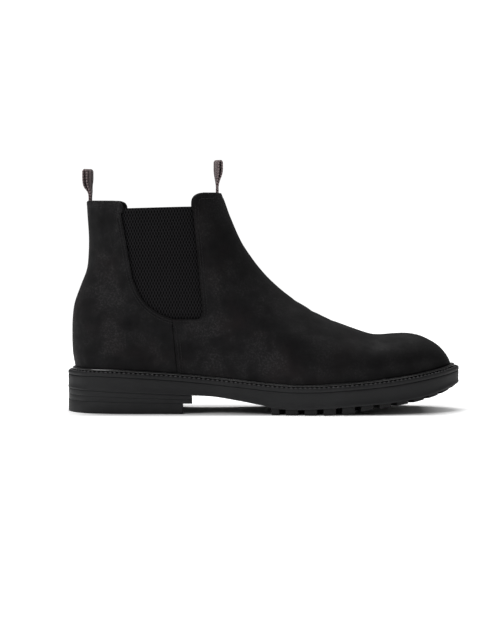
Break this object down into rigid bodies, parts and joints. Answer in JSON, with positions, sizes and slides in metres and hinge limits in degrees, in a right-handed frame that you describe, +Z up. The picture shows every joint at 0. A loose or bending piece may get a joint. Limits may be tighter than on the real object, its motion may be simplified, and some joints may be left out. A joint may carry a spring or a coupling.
{
  "type": "chelsea boot",
  "caption": "Ankle-high pull-on boot with elastic side gores, folding pull tabs at front and back, and a welted rubber sole with a block heel.",
  "frame": {"origin": "on the floor, under the middle of the sole's length and width", "axes": "+X from the heel to the toe, +Y to the inner side of the right foot, +Z up"},
  "size_m": [0.306, 0.1056, 0.1959],
  "materials": {
    "upper_leather": "matte, finely napped",
    "elastic": "ribbed elastic webbing",
    "ribbon": "grosgrain with dark stripes",
    "stiffener": "matte",
    "interlining": "matte woven",
    "lining": "smooth matte",
    "board": "matte fibreboard",
    "foam": "matte",
    "cork": "matte",
    "steel": "satin",
    "bead": "glossy",
    "sole_rubber": "matte"
  },
  "bodies": {
    "boot": {"vamp": "upper_leather", "quarter_lateral": "upper_leather", "quarter_medial": "upper_leather", "gore_lateral": "elastic", "gore_medial": "elastic", "toe_puff": "stiffener", "heel_counter": "stiffener", "rear_interlining": "interlining", "vamp_interlining": "interlining", "rear_tab_anchor": "ribbon", "front_tab_anchor": "ribbon", "vamp_lining": "lining", "quarter_lining": "lining", "insole_board": "board", "sock_liner": "lining", "heel_pad": "foam", "insole_rib": "interlining", "filler": "cork", "shank": "steel", "storm_bead": "bead", "welt": "sole_rubber", "outsole": "sole_rubber", "heel_lift_upper": "sole_rubber", "heel_lift_lower": "sole_rubber", "heel_top_piece": "sole_rubber", "heel_nail_1": "steel", "heel_nail_2": "steel", "heel_nail_3": "steel", "heel_nail_4": "steel", "heel_nail_5": "steel"},
    "rear_loop": {"rear_tab": "ribbon"},
    "front_loop": {"front_tab": "ribbon"}
  },
  "joints": [
    {"name": "rear_tab_fold", "type": "hinge", "parent": "boot", "child": "rear_loop", "pos_m": [-0.13539, 0, 0.1649], "axis": [0, 1, 0], "range_deg": [-90, 90], "stiffness_Nm_per_rad": 0.001},
    {"name": "front_tab_fold", "type": "hinge", "parent": "boot", "child": "front_loop", "pos_m": [-0.03647, 0, 0.1714], "axis": [0, 1, 0], "range_deg": [-90, 90], "stiffness_Nm_per_rad": 0.001}
  ]
}
